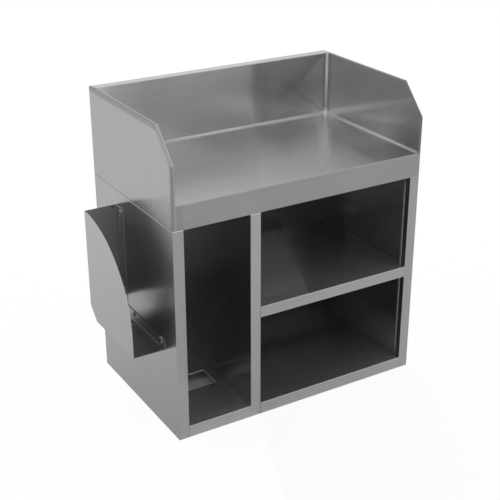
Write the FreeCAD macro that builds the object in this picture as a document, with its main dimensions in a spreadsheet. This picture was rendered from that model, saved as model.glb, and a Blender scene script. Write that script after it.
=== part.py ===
# Condiment station cabinet in folded stainless sheet: an open-fronted body with lined sides, a worktop unit
# with upstands on three sides, and a pocket-shaped holder bolted to the left side.
# Frame: millimetres, +Z up, the front towards -Y, the origin on the floor under the middle of the body.
import FreeCAD, Part
import math
import os
import Sketcher
from FreeCAD import Vector

doc = FreeCAD.newDocument("condiment_station_cabinet")
sheet = doc.addObject("Spreadsheet::Sheet", "sizes")

DRIVING_SIZES = [
    ("body_width", 1000, "outside width of the body, without the side holder"),
    ("body_depth", 620, "outside depth of the body"),
    ("body_height", 790, "height of the body, up to the seam under the top unit"),
    ("fascia_height", 87, "front band of the top unit, from the seam to the worktop"),
    ("upstand_height", 243, "upstands, above the worktop"),
    ("skin", 1.2, "sheet of the body's panels, shelf and floor pans"),
    ("top_skin", 1.5, "sheet of the worktop and the upstands"),
    ("bend_radius", 0.8, "inside radius of every fold"),
    ("post_width", 40, "front face of each side post, and the thickness of each side wall"),
    ("post_return", 30, "depth of a post's return into the bay"),
    ("side_rear_flange", 20, "inward flange at the back of a side panel"),
    ("liner_flange", 15, "flange at the back of a side liner"),
    ("left_bay_width", 250, "clear width of the narrow left bay"),
    ("divider_width", 40, "thickness of the divider between the bays"),
    ("floor_height", 45, "top of the bays' floors, and the height of the rail under each bay"),
    ("floor_lip", 15, "return under a floor rail"),
    ("floor_drop", 20, "down-turned edge at the back and sides of a floor pan"),
    ("floor_hole_width", 196, "hole in the left bay's floor, from side to side"),
    ("floor_hole_depth", 107, "the same hole, from front to back"),
    ("floor_hole_setback", 205, "from the cabinet's front to that hole"),
    ("floor_hole_collar", 10, "depth of the turned-down edge round that hole"),
    ("floor_channel_inset", 170, "from a bay's side to the middle of the channel under its floor"),
    ("floor_channel_width", 40, "inside width of a floor channel"),
    ("shelf_height", 435, "top of the shelf in the right bay"),
    ("shelf_edge", 42, "front edge of the shelf"),
    ("shelf_lip", 15, "return under the shelf's front edge"),
    ("shelf_drop", 25, "down-turned edge at the back of the shelf"),
    ("shelf_bracket_leg", 25, "each leg of the angle brackets that carry the shelf"),
    ("shelf_bracket_setback", 20, "from the front to those brackets"),
    ("channel_width", 60, "inside width of the channels under the shelf and worktop"),
    ("channel_height", 30, "height of those channels"),
    ("channel_brim", 15, "each brim of a channel, where it is welded"),
    ("worktop_channel_spacing", 260, "between the middles of the two worktop channels"),
    ("fascia_lip", 20, "return under the fascia, which rests on the body"),
    ("back_upstand_width", 40, "thickness of the box-folded back upstand"),
    ("back_upstand_foot", 25, "foot flange of the back upstand, which rests on the body"),
    ("side_upstand_width", 12, "thickness of each side upstand"),
    ("corner_cut_run", 103, "cut front corner of a side upstand, along the top"),
    ("corner_cut_rise", 110, "the same cut, down the front"),
    ("holder_depth", 120, "how far the side holder stands out from the body"),
    ("holder_width", 356, "the side holder from front to back"),
    ("holder_height", 415, "the side holder from bottom to top"),
    ("holder_top_drop", 55, "from the seam under the top unit down to the holder's top"),
    ("holder_setback", 87, "from the cabinet's front to the holder's front edge"),
    ("holder_sheet", 1.5, "sheet of the side holder"),
    ("holder_arc_radius", 345, "the holder's cut-away front corner"),
    ("holder_corner_gap", 52, "the holder's open lower rear corner"),
    ("holder_rear_flange", 60, "mounting flange along the holder's rear wall"),
    ("holder_bottom_flange", 42, "mounting flange along the holder's bottom"),
    ("holder_bolt_rise", 28, "from the holder's bottom to the bolts along it"),
    ("holder_front_bolt_inset", 25, "from the holder's front edge to the first of those bolts"),
    ("holder_middle_bolt_inset", 59, "from the open corner to the second of those bolts"),
    ("holder_rear_bolt_inset", 40, "from the holder's rear wall to the bolts up it"),
    ("holder_top_bolt_drop", 20, "from the holder's top to the upper of those bolts"),
    ("holder_low_bolt_rise", 43, "from the open corner to the lower of those bolts"),
    ("bolt_width", 6, "shank of every bolt"),
    ("bolt_hole_width", 6.6, "clearance hole for a bolt"),
    ("bolt_length", 16, "shank of a bolt, under its head"),
    ("bolt_head_width", 10, "across the flats of a bolt head or nut"),
    ("bolt_head_height", 4, "height of a bolt head"),
    ("nut_height", 5, "height of a nut"),
    ("thread_clearance", 0.05, "radial gap between a nut and its bolt"),
    ("washer_width", 25, "large washers under the holder's bolt heads"),
    ("washer_thickness", 1.6, "thickness of those washers"),
    ("top_bolt_inset", 100, "from the body's side to the outer bolts under the top unit"),
]

for row, (name, number, meaning) in enumerate(DRIVING_SIZES, start=1):
    sheet.set(f"A{row}", meaning)
    sheet.set(f"B{row}", str(number))
    sheet.setAlias(f"B{row}", name)
doc.recompute()


class Size:
    """A length: the spreadsheet expression that objects are bound to, and its present value."""

    def __init__(self, text, value):
        self.text = text
        self.value = value

    def joined(self, sign, other, value):
        other_text = other.text if isinstance(other, Size) else str(other)
        return Size(f"({self.text} {sign} {other_text})", value)

    def __add__(self, other):
        return self.joined("+", other, self.value + plain(other))

    def __sub__(self, other):
        return self.joined("-", other, self.value - plain(other))

    def __mul__(self, other):
        return self.joined("*", other, self.value * plain(other))

    def __truediv__(self, other):
        return self.joined("/", other, self.value / plain(other))

    def __neg__(self):
        return self * -1


def plain(number):
    return number.value if isinstance(number, Size) else number


def hypotenuse(one, other):
    text = f"sqrt({one.text} * {one.text} + {other.text} * {other.text})"
    return Size(text, math.hypot(one.value, other.value))


class Sizes:
    """The spreadsheet's driving sizes, each an attribute named by its alias."""


size = Sizes()
for name, number, meaning in DRIVING_SIZES:
    setattr(size, name, Size(f"sizes.{name}", float(sheet.get(name))))

# Places that several pieces share.
zero = Size("0", 0.0)
right = size.body_width / 2
front = -(size.body_depth / 2)
back = size.body_depth / 2
back_skin_front = back - size.skin
clear_of_rear_drop = back_skin_front - size.skin - size.bend_radius
bay_right = right - size.post_width
divider_left = size.left_bay_width - bay_right
divider_right = divider_left + size.divider_width
ceiling_under = size.body_height - size.skin
floor_under = size.floor_height - size.skin
worktop_top = size.body_height + size.fascia_height
worktop_under = worktop_top - size.top_skin
top = worktop_top + size.upstand_height
side_upstand_inner = right - size.side_upstand_width
back_upstand_front = back - size.back_upstand_width

# The outside radius of the folds in the body's sheet.
outer_fold = size.skin + size.bend_radius

# Each plane's two axes as coordinate numbers, and whether a sketch on it faces along the third.
PLANES = {"XY": (0, 1, True), "XZ": (0, 2, False), "YZ": (1, 2, True)}
HEADINGS = {"+u": (1, 0), "-u": (-1, 0), "+v": (0, 1), "-v": (0, -1)}
NEAR = 0.001
# The sketcher's numbers for a point of an element.
START, END, CENTRE = 1, 2, 3
nodes = []


def keep(piece, label):
    """Names a finished sub-part and lists it for writing."""
    piece.Label = label
    nodes.append(piece)
    return piece


def new_body(label):
    return keep(doc.addObject("PartDesign::Body", label), label)


def sketch_on(body, plane, place):
    """An empty sketch on one of the body's own origin planes, moved along that plane's axis to place."""
    sketch = body.newObject("Sketcher::SketchObject", f"{body.Label}_outline")
    role = f"{plane}_Plane"
    support = next(feature for feature in body.Origin.OriginFeatures if feature.Role == role)
    sketch.AttachmentSupport = [(support, "")]
    sketch.MapMode = "FlatFace"
    faces_axis = PLANES[plane][2]
    sketch.setExpression("AttachmentOffset.Base.z", place.text if faces_axis else (-place).text)
    return sketch


def pin(sketch, element, end, point):
    """Holds a sketch element's START, END or CENTRE at a point given as (across, up)."""
    for kind, place in zip(("DistanceX", "DistanceY"), point):
        number = sketch.addConstraint(Sketcher.Constraint(kind, -1, 1, element, end, place.value))
        sketch.setExpression(f"Constraints[{number}]", place.text)


def join(sketch, before, after):
    """Holds one element's end on the next one's start."""
    sketch.addConstraint(Sketcher.Constraint("Coincident", before, END, after, START))


def flat(point):
    return Vector(point[0].value, point[1].value, 0)


def draw_lines(sketch, points, closed=False):
    """A chain of lines through the points, joined end to end, and back to the first when closed."""
    ends = points[1:] + points[:1] if closed else points[1:]
    for number, (point, end) in enumerate(zip(points, ends)):
        sketch.addGeometry(Part.LineSegment(flat(point), flat(end)), False)
        if number:
            join(sketch, number - 1, number)
        pin(sketch, number, START, point)
    if closed:
        join(sketch, len(points) - 1, 0)
    else:
        pin(sketch, len(points) - 2, END, points[-1])


def draw_circle(sketch, centre, width):
    circle = sketch.addGeometry(Part.Circle(flat(centre), Vector(0, 0, 1), width.value / 2), False)
    pin(sketch, circle, CENTRE, centre)
    number = sketch.addConstraint(Sketcher.Constraint("Radius", circle, width.value / 2))
    sketch.setExpression(f"Constraints[{number}]", (width / 2).text)


def rectangle(low_across, high_across, low_up, high_up):
    return [(low_across, low_up), (high_across, low_up), (high_across, high_up), (low_across, high_up)]


def pad(body, sketch, plane, length):
    """Adds material from a sketch along its plane's axis."""
    feature = body.newObject("PartDesign::Pad", f"{body.Label}_pad")
    feature.Profile = sketch
    feature.setExpression("Length", length.text)
    feature.Reversed = not PLANES[plane][2]
    doc.recompute()
    return feature


def cut(body, sketch, plane, length):
    """Removes material from a sketch along its plane's axis, and makes sure that it did."""
    before = body.Shape.Volume
    feature = body.newObject("PartDesign::Pocket", f"{body.Label}_cut")
    feature.Profile = sketch
    feature.setExpression("Length", length.text)
    feature.Reversed = PLANES[plane][2]
    doc.recompute()
    if body.Shape.Volume >= before:
        raise RuntimeError(f"{feature.Label} removed nothing from {body.Label}")
    return feature


def add_plate(body, plane, low, high, points):
    sketch = sketch_on(body, plane, low)
    draw_lines(sketch, points, closed=True)
    return pad(body, sketch, plane, high - low)


def cut_plate(body, plane, low, high, points):
    sketch = sketch_on(body, plane, low)
    draw_lines(sketch, points, closed=True)
    return cut(body, sketch, plane, high - low)


def cut_holes(body, plane, low, high, centres, width):
    sketch = sketch_on(body, plane, low)
    for centre in centres:
        draw_circle(sketch, centre, width)
    return cut(body, sketch, plane, high - low)


def edges_along(feature, plane, corners):
    """Names of the edges that run along the plane's axis through the given (across, up) corners."""
    across, up, _ = PLANES[plane]
    names = []
    for number, edge in enumerate(feature.Shape.Edges, start=1):
        ends = [(vertex.Point[across], vertex.Point[up]) for vertex in edge.Vertexes]
        for corner in corners:
            if all(math.dist(end, (corner[0].value, corner[1].value)) < NEAR for end in ends):
                names.append(f"Edge{number}")
    return names


def rim_edges(feature, plane, place, chain):
    """Names of the edges that join a chain of (across, up) points at one place along the plane's axis."""
    across, up, _ = PLANES[plane]
    axis = 3 - across - up
    names = []
    for number, edge in enumerate(feature.Shape.Edges, start=1):
        ends = [vertex.Point for vertex in edge.Vertexes]
        if len(ends) != 2 or any(abs(end[axis] - place.value) > NEAR for end in ends):
            continue
        flat_ends = [(end[across], end[up]) for end in ends]
        for before, after in zip(chain, chain[1:]):
            pair = [(before[0].value, before[1].value), (after[0].value, after[1].value)]
            for order in (pair, pair[::-1]):
                if all(math.dist(end, corner) < NEAR for end, corner in zip(flat_ends, order)):
                    names.append(f"Edge{number}")
    return names


def rounded(body, feature, names, radius):
    fillet = body.newObject("PartDesign::Fillet", f"{body.Label}_bend")
    fillet.Base = (feature, names)
    fillet.setExpression("Radius", radius.text)
    doc.recompute()
    return fillet


def moved(point, heading, distance):
    """The point shifted by distance along a heading of whole steps."""
    return tuple(place + distance * step if step else place for place, step in zip(point, heading))


def add_sharp_sheet(body, plane, low, high, start, runs, thickness, side):
    """Adds a sheet that follows a path of runs, from low to high along the plane's axis, with sharp corners.

    Each run is (heading, length). The path is one face of the sheet, and the sheet's thickness lies on the
    given side of it, "left" or "right". Gives the feature, and the outer and inner corners of its folds.
    """
    turn = 1 if side == "left" else -1
    path = [start]
    for heading, length in runs:
        path.append(moved(path[-1], HEADINGS[heading], length))
    normals = [(-HEADINGS[heading][1] * turn, HEADINGS[heading][0] * turn) for heading, _ in runs]
    other = [moved(path[0], normals[0], thickness)]
    outer = []
    inner = []
    for number in range(1, len(runs)):
        opposite = moved(moved(path[number], normals[number - 1], thickness), normals[number], thickness)
        other.append(opposite)
        before_u, before_v = HEADINGS[runs[number - 1][0]]
        turns_to_sheet = before_u * normals[number][0] + before_v * normals[number][1] < 0
        outer.append(path[number] if turns_to_sheet else opposite)
        inner.append(opposite if turns_to_sheet else path[number])
    other.append(moved(path[-1], normals[-1], thickness))
    sketch = sketch_on(body, plane, low)
    draw_lines(sketch, path + other[::-1], closed=True)
    return pad(body, sketch, plane, high - low), outer, inner


def add_folded(body, plane, low, high, start, runs, thickness, side):
    """Adds the same sheet with its folds rounded."""
    feature, outer, inner = add_sharp_sheet(body, plane, low, high, start, runs, thickness, side)
    feature = rounded(body, feature, edges_along(feature, plane, outer), thickness + size.bend_radius)
    return rounded(body, feature, edges_along(feature, plane, inner), size.bend_radius)


def folded(label, plane, low, high, start, runs, thickness, side):
    """A sub-part that is one folded sheet."""
    body = new_body(label)
    add_folded(body, plane, low, high, start, runs, thickness, side)
    return body


def mirrored(plain_runs, hand):
    """The same runs on the left (hand -1) as on the right (hand 1)."""
    swap = {"+u": "-u", "-u": "+u"}
    return [(swap.get(heading, heading) if hand < 0 else heading, length) for heading, length in plain_runs]


def spread(hand, near, far):
    """The low and high of two places measured out from the middle, on the side that hand gives."""
    return (near * hand, far * hand) if hand > 0 else (far * hand, near * hand)


# Holder: the places that its sheet, its bolts and the holes behind them share.
holder_front = front + size.holder_setback
holder_back = holder_front + size.holder_width
holder_top = size.body_height - size.holder_top_drop
holder_bottom = holder_top - size.holder_height
holder_out = -right - size.holder_depth
holder_gap_top = holder_bottom + size.holder_corner_gap
holder_gap_front = holder_back - size.holder_corner_gap
holder_flange_out = -right - size.holder_sheet
holder_bolt_places = [
    (holder_front + size.holder_front_bolt_inset, holder_bottom + size.holder_bolt_rise),
    (holder_gap_front - size.holder_middle_bolt_inset, holder_bottom + size.holder_bolt_rise),
    (holder_back - size.holder_rear_bolt_inset, holder_gap_top + size.holder_low_bolt_rise),
    (holder_back - size.holder_rear_bolt_inset, holder_top - size.holder_top_bolt_drop),
]

# Top unit: where its bolts come up through the ceiling panel into the back upstand's foot.
top_bolt_depth = back - size.back_upstand_foot / 2
top_bolt_sides = [-right + size.top_bolt_inset, zero, right - size.top_bolt_inset]
top_bolt_places = [(side, top_bolt_depth) for side in top_bolt_sides]


def side_panel(label, hand):
    """Outer side and front post in one sheet, with a flange at the back, its top and bottom folded in."""
    runs = [("-v", size.post_return), ("+u", size.post_width), ("+v", size.body_depth - size.skin)]
    runs.append(("-u", size.side_rear_flange))
    start = (bay_right * hand, front + size.post_return)
    facing = "left" if hand > 0 else "right"
    panel = new_body(label)
    _, outer, inner = add_sharp_sheet(
        panel, "XY", zero, size.body_height, start, mirrored(runs, hand), size.skin, facing
    )
    low_x, high_x = spread(hand, bay_right, right - size.skin)
    closing = rectangle(low_x, high_x, front + size.skin, back_skin_front - size.skin)
    add_plate(panel, "XY", zero, size.skin, closing)
    closed = add_plate(panel, "XY", ceiling_under, size.body_height, closing)
    top_rim = [(bay_right * hand, front), (right * hand, front), (right * hand, back_skin_front)]
    folds = edges_along(closed, "XY", outer) + rim_edges(closed, "XY", size.body_height, top_rim)
    smooth = rounded(panel, closed, folds, outer_fold)
    rounded(panel, smooth, edges_along(smooth, "XY", inner), size.bend_radius)
    return panel


def side_liner(label, hand):
    """Inner face of a side wall, from the post's return to the back panel, with a flange behind."""
    runs = [("+v", size.body_depth - size.skin - size.post_return), ("+u", size.liner_flange)]
    start = (bay_right * hand, front + size.post_return)
    facing = "right" if hand > 0 else "left"
    return folded(label, "XY", size.skin, ceiling_under, start, mirrored(runs, hand), size.skin, facing)


def floor_pan(label, low_x, high_x):
    """A bay's floor with its front rail and the lip under it, and down-turned back and side edges."""
    runs = [("-u", size.floor_lip), ("+v", size.floor_height), ("+u", size.body_depth - size.skin)]
    runs.append(("-v", size.floor_drop))
    start = (front + size.floor_lip, zero)
    pan = folded(label, "YZ", low_x, high_x, start, runs, size.skin, "right")
    for low, high in ((low_x, low_x + size.skin), (high_x - size.skin, high_x)):
        edge = rectangle(low, high, front + size.skin, back_skin_front - size.skin)
        add_plate(pan, "XY", size.floor_height - size.floor_drop, floor_under, edge)
    return pan


def hat_runs(brim, height, width, thickness):
    """Runs of a channel whose two brims lie against the panel above it."""
    wall = height - thickness
    return [("+u", brim), ("-v", wall), ("+u", width), ("+v", wall), ("+u", brim)]


def floor_channel(label, middle):
    """Stands on the floor and carries a floor pan from beneath, from front to back."""
    start = (middle - size.floor_channel_width / 2 - size.channel_brim, floor_under)
    runs = hat_runs(size.channel_brim, floor_under, size.floor_channel_width, size.skin)
    return folded(label, "XZ", front + size.floor_lip, clear_of_rear_drop, start, runs, size.skin, "right")


def cross_channel(label, low_x, high_x, middle, under, thickness):
    """Runs from side to side beneath a shelf or worktop and stiffens it."""
    start = (middle - size.channel_width / 2 - size.channel_brim, under)
    runs = hat_runs(size.channel_brim, size.channel_height, size.channel_width, thickness)
    return folded(label, "YZ", low_x, high_x, start, runs, thickness, "right")


def shelf_support(label, wall, hand):
    """Angle bracket welded to a bay's wall, which carries one end of the shelf."""
    runs = [("+v", size.shelf_bracket_leg), ("-u", size.shelf_bracket_leg)]
    start = (wall, size.shelf_height - size.skin - size.shelf_bracket_leg)
    facing = "left" if hand > 0 else "right"
    low_y = front + size.shelf_bracket_setback
    return folded(label, "XZ", low_y, clear_of_rear_drop, start, mirrored(runs, hand), size.skin, facing)


# The inner faces of a side upstand's edge flanges at its cut corner, so that every flange has one thickness.
corner_cut_length = hypotenuse(size.corner_cut_run, size.corner_cut_rise)
corner_inner_drop = size.top_skin * (corner_cut_length - size.corner_cut_rise) / size.corner_cut_run
corner_inner_shift = size.top_skin * (corner_cut_length - size.corner_cut_run) / size.corner_cut_rise
cut_foot = (front + size.top_skin, top - size.corner_cut_rise - corner_inner_drop)
cut_head = (front + size.corner_cut_run + corner_inner_shift, top - size.top_skin)
upstand_bottom_inner = size.body_height + size.top_skin


def side_upstand(label, hand):
    """Outer face of a side upstand, from the seam to the top, its edges turned in but for the back one."""
    outline = [
        (front, size.body_height),
        (front, top - size.corner_cut_rise),
        (front + size.corner_cut_run, top),
        (back, top),
        (back, size.body_height),
    ]
    upstand = new_body(label)
    low_x, high_x = spread(hand, side_upstand_inner, right)
    plate = add_plate(upstand, "YZ", low_x, high_x, outline)
    folds = [outline[4]] + outline[:4]
    rim = rim_edges(plate, "YZ", right * hand, folds)
    rounded(upstand, plate, rim, size.top_skin + size.bend_radius)
    hollow = [
        (front + size.top_skin, upstand_bottom_inner),
        cut_foot,
        cut_head,
        (back_upstand_front, top - size.top_skin),
        (back_upstand_front, top + size.top_skin),
        (back + size.top_skin, top + size.top_skin),
        (back + size.top_skin, upstand_bottom_inner),
    ]
    low_cut, high_cut = spread(hand, side_upstand_inner, right - size.top_skin)
    cut_plate(upstand, "YZ", low_cut, high_cut, hollow)
    foot = rectangle(back_upstand_front, back + size.top_skin, size.body_height, upstand_bottom_inner)
    opened = cut_plate(upstand, "YZ", low_cut, high_cut, foot)
    inner_folds = [(back_upstand_front, upstand_bottom_inner)] + hollow[:4]
    inner_rim = rim_edges(opened, "YZ", (right - size.top_skin) * hand, inner_folds)
    rounded(upstand, opened, inner_rim, size.bend_radius)
    return upstand


def side_upstand_inner_face(label, hand):
    """Inner face of a side upstand, set between its turned edges."""
    face = new_body(label)
    low_x, high_x = spread(hand, side_upstand_inner, side_upstand_inner + size.top_skin)
    outline = [
        (front + size.top_skin, upstand_bottom_inner),
        cut_foot,
        cut_head,
        (back_upstand_front, top - size.top_skin),
        (back_upstand_front, upstand_bottom_inner),
    ]
    add_plate(face, "YZ", low_x, high_x, outline)
    return face


def hexagon(across_flats, height, base, turn):
    """A six-sided prism whose base centre is at base, turned from +Z by turn."""
    prism = doc.addObject("Part::Prism", "hexagon")
    prism.Polygon = 6
    prism.setExpression("Circumradius", (across_flats / math.sqrt(3)).text)
    prism.setExpression("Height", height.text)
    return placed(prism, base, turn)


def cylinder(width, height, base, turn):
    rod = doc.addObject("Part::Cylinder", "cylinder")
    rod.setExpression("Radius", (width / 2).text)
    rod.setExpression("Height", height.text)
    return placed(rod, base, turn)


def placed(piece, base, turn):
    piece.Placement = FreeCAD.Placement(Vector(0, 0, 0), turn)
    for axis, place in zip("xyz", base):
        piece.setExpression(f"Placement.Base.{axis}", place.text)
    return piece


def ring(outer, bore):
    washer = doc.addObject("Part::Cut", "ring")
    washer.Base = outer
    washer.Tool = bore
    return washer


def group(label, pieces):
    """Like pieces that share one sub-part, each a separate solid."""
    together = doc.addObject("Part::Compound", label)
    together.Links = pieces
    return keep(together, label)


UPWARDS = FreeCAD.Rotation(Vector(0, 0, 1), 0)
TO_THE_RIGHT = FreeCAD.Rotation(Vector(0, 1, 0), 90)


def bolt(head_base, shank_base, turn):
    head = hexagon(size.bolt_head_width, size.bolt_head_height, head_base, turn)
    shank = cylinder(size.bolt_width, size.bolt_length, shank_base, turn)
    whole = doc.addObject("Part::Fuse", "bolt")
    whole.Base = head
    whole.Tool = shank
    return whole


def nut(base, turn):
    outside = hexagon(size.bolt_head_width, size.nut_height, base, turn)
    bore = cylinder(size.bolt_width + size.thread_clearance * 2, size.nut_height, base, turn)
    return ring(outside, bore)


# Body: lined sides, back, divider and ceiling.
side_panel_left = side_panel("side_panel_left", -1)
cut_holes(side_panel_left, "YZ", -right, size.skin - right, holder_bolt_places, size.bolt_hole_width)
side_panel("side_panel_right", 1)
side_liner("side_liner_left", -1)
side_liner("side_liner_right", 1)

back_panel = new_body("back_panel")
add_plate(back_panel, "XZ", back_skin_front, back, rectangle(-right, right, zero, size.body_height))

divider_depth = size.body_depth - size.skin
divider_runs = [("-v", divider_depth), ("-u", size.divider_width), ("+v", divider_depth)]
divider_start = (divider_right, back_skin_front)
divider = new_body("divider")
_, divider_outer, divider_inner = add_sharp_sheet(
    divider, "XY", zero, ceiling_under, divider_start, divider_runs, size.skin, "right"
)
divider_closing = rectangle(divider_left, divider_right, front + size.skin, back_skin_front)
divider_closed = add_plate(divider, "XY", ceiling_under - size.skin, ceiling_under, divider_closing)
divider_rim = [(divider_left, front), (divider_right, front)]
divider_folds = edges_along(divider_closed, "XY", divider_outer)
divider_folds += rim_edges(divider_closed, "XY", ceiling_under, divider_rim)
divider_smooth = rounded(divider, divider_closed, divider_folds, outer_fold)
rounded(divider, divider_smooth, edges_along(divider_smooth, "XY", divider_inner), size.bend_radius)

ceiling_panel = new_body("ceiling_panel")
ceiling_outline = rectangle(-bay_right, bay_right, front + outer_fold, back_skin_front)
add_plate(ceiling_panel, "XY", ceiling_under, size.body_height, ceiling_outline)
cut_holes(ceiling_panel, "XY", ceiling_under, size.body_height, top_bolt_places, size.bolt_hole_width)

# Floors: a pan in each bay, the left one with a collared hole, and channels under the wide right one.
floor_pan_left = floor_pan("floor_pan_left", -bay_right, divider_left)
hole_middle = (divider_left - bay_right) / 2
hole_left = hole_middle - size.floor_hole_width / 2
hole_right = hole_middle + size.floor_hole_width / 2
hole_front = front + size.floor_hole_setback
hole_back = hole_front + size.floor_hole_depth
hole_outline = rectangle(hole_left, hole_right, hole_front, hole_back)
collar_outline = rectangle(
    hole_left - size.skin, hole_right + size.skin, hole_front - size.skin, hole_back + size.skin
)
collar_foot = size.floor_height - size.floor_hole_collar
add_plate(floor_pan_left, "XY", collar_foot, floor_under, collar_outline)
cut_plate(floor_pan_left, "XY", collar_foot, size.floor_height, hole_outline)

floor_pan("floor_pan_right", divider_right, bay_right)
floor_channel("floor_channel_middle", divider_right + size.floor_channel_inset)
floor_channel("floor_channel_right", bay_right - size.floor_channel_inset)

# Shelf of the right bay, on brackets, with a channel beneath.
shelf_under = size.shelf_height - size.skin
shelf_runs = [("-u", size.shelf_lip), ("+v", size.shelf_edge), ("+u", size.body_depth - size.skin)]
shelf_runs.append(("-v", size.shelf_drop))
shelf_start = (front + size.shelf_lip, size.shelf_height - size.shelf_edge)
folded("shelf", "YZ", divider_right, bay_right, shelf_start, shelf_runs, size.skin, "right")
shelf_support("shelf_support_left", divider_right, -1)
shelf_support("shelf_support_right", bay_right, 1)
shelf_channel_low = divider_right + size.shelf_bracket_leg
shelf_channel_high = bay_right - size.shelf_bracket_leg
cross_channel("shelf_channel", shelf_channel_low, shelf_channel_high, zero, shelf_under, size.skin)

# Top unit: the worktop with its fascia, two channels beneath it, and upstands on three sides.
worktop_left = -side_upstand_inner
worktop_right = side_upstand_inner
worktop_runs = [("-u", size.fascia_lip), ("+v", size.fascia_height)]
worktop_runs.append(("+u", size.body_depth - size.top_skin))
worktop_start = (front + size.fascia_lip, size.body_height)
folded("worktop", "YZ", worktop_left, worktop_right, worktop_start, worktop_runs, size.top_skin, "right")
for name, sense in (("worktop_channel_front", -1), ("worktop_channel_rear", 1)):
    middle = size.worktop_channel_spacing / 2 * sense
    cross_channel(name, worktop_left, worktop_right, middle, worktop_under, size.top_skin)

back_runs = [("+u", size.back_upstand_foot), ("+v", size.fascia_height + size.upstand_height)]
back_runs += [("-u", size.back_upstand_width), ("-v", size.upstand_height)]
back_start = (back - size.back_upstand_foot, size.body_height)
back_end = right - size.top_skin
back_upstand = folded(
    "upstand_back", "YZ", -back_end, back_end, back_start, back_runs, size.top_skin, "left"
)
cut_holes(back_upstand, "XY", size.body_height, upstand_bottom_inner, top_bolt_places, size.bolt_hole_width)

for name, hand in (("left", -1), ("right", 1)):
    side_upstand(f"upstand_{name}", hand)
    side_upstand_inner_face(f"upstand_{name}_inner_face", hand)

# Bolts and nuts that hold the back upstand's foot to the ceiling panel.
top_bolts = []
top_nuts = []
for side, depth in top_bolt_places:
    head_base = (side, depth, ceiling_under - size.bolt_head_height)
    top_bolts.append(bolt(head_base, (side, depth, ceiling_under), UPWARDS))
    top_nuts.append(nut((side, depth, upstand_bottom_inner), UPWARDS))
group("top_unit_bolts", top_bolts)
group("top_unit_nuts", top_nuts)

# Holder: one folded sheet. Its outer wall folds into the rear wall and the bottom, each with a flange on the
# body's side, and has a large round cut-away at its upper front corner. The lower rear corner is open.
holder_fold = size.holder_sheet + size.bend_radius
holder = new_body("side_holder")
rear_fold = [("+v", size.holder_width), ("+u", size.holder_depth), ("-v", size.holder_rear_flange)]
rear_start = (holder_out, holder_front)
add_folded(
    holder, "XY", holder_bottom + holder_fold, holder_top, rear_start, rear_fold, size.holder_sheet, "right"
)
open_corner = [
    (holder_gap_front, holder_bottom),
    (holder_back + size.holder_sheet, holder_bottom),
    (holder_back + size.holder_sheet, holder_gap_top),
    (holder_back, holder_gap_top),
]
cut_plate(holder, "YZ", holder_out, -right, open_corner)
flange_front = holder_back - size.holder_rear_flange
below_flange = rectangle(flange_front, holder_back + size.holder_sheet, holder_bottom, holder_gap_top)
cut_plate(holder, "YZ", holder_out + size.holder_sheet, -right, below_flange)
bottom_flange = size.holder_bottom_flange
bottom_fold = [("-v", bottom_flange), ("+u", size.holder_depth), ("+v", bottom_flange)]
bottom_start = (holder_out, holder_bottom + bottom_flange)
add_folded(holder, "XZ", holder_front, holder_gap_front, bottom_start, bottom_fold, size.holder_sheet, "left")

arc_centre = (holder_front + size.holder_arc_radius, holder_top - size.holder_arc_radius)
cut_away = sketch_on(holder, "YZ", holder_out)
cut_away_corners = [
    (holder_front, arc_centre[1]),
    (holder_front - size.holder_sheet, arc_centre[1]),
    (holder_front - size.holder_sheet, holder_top + size.holder_sheet),
    (arc_centre[0], holder_top + size.holder_sheet),
    (arc_centre[0], holder_top),
]
draw_lines(cut_away, cut_away_corners)
circle = Part.Circle(flat(arc_centre), Vector(0, 0, 1), size.holder_arc_radius.value)
arc = cut_away.addGeometry(Part.ArcOfCircle(circle, math.pi / 2, math.pi), False)
join(cut_away, arc - 1, arc)
join(cut_away, arc, 0)
radius = Sketcher.Constraint("Radius", arc, size.holder_arc_radius.value)
radius_number = cut_away.addConstraint(radius)
cut_away.setExpression(f"Constraints[{radius_number}]", size.holder_arc_radius.text)
cut(holder, cut_away, "YZ", size.holder_sheet)
cut_holes(holder, "YZ", holder_flange_out, -right, holder_bolt_places, size.bolt_hole_width)

# Holder's bolts, with a large washer under each head and a nut inside the side wall.
holder_bolts = []
holder_washers = []
holder_nuts = []
washer_out = holder_flange_out - size.washer_thickness
for depth, height in holder_bolt_places:
    head_base = (washer_out - size.bolt_head_height, depth, height)
    washer_base = (washer_out, depth, height)
    holder_bolts.append(bolt(head_base, washer_base, TO_THE_RIGHT))
    disc = cylinder(size.washer_width, size.washer_thickness, washer_base, TO_THE_RIGHT)
    bore = cylinder(size.bolt_hole_width, size.washer_thickness, washer_base, TO_THE_RIGHT)
    holder_washers.append(ring(disc, bore))
    holder_nuts.append(nut((size.skin - right, depth, height), TO_THE_RIGHT))
group("holder_bolts", holder_bolts)
group("holder_washers", holder_washers)
group("holder_nuts", holder_nuts)

doc.recompute()
for piece in doc.Objects:
    if "Invalid" in piece.State or "Error" in piece.State:
        raise RuntimeError(f"{piece.Label} failed to compute: {piece.State}")
for piece in nodes:
    if piece.Shape.isNull() or not piece.Shape.isValid():
        raise RuntimeError(f"{piece.Label} has no valid shape")

os.makedirs("parts", exist_ok=True)
for piece in nodes:
    piece.Shape.exportStep(f"parts/{piece.Label}.step")
    volume = piece.Shape.Volume / 1000
    print(f"{piece.Label:28s} {len(piece.Shape.Solids)} solid(s) {volume:9.1f} cm3 {piece.Shape.BoundBox}")
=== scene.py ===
import math

import bmesh
import bpy
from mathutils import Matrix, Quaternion, Vector


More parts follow.
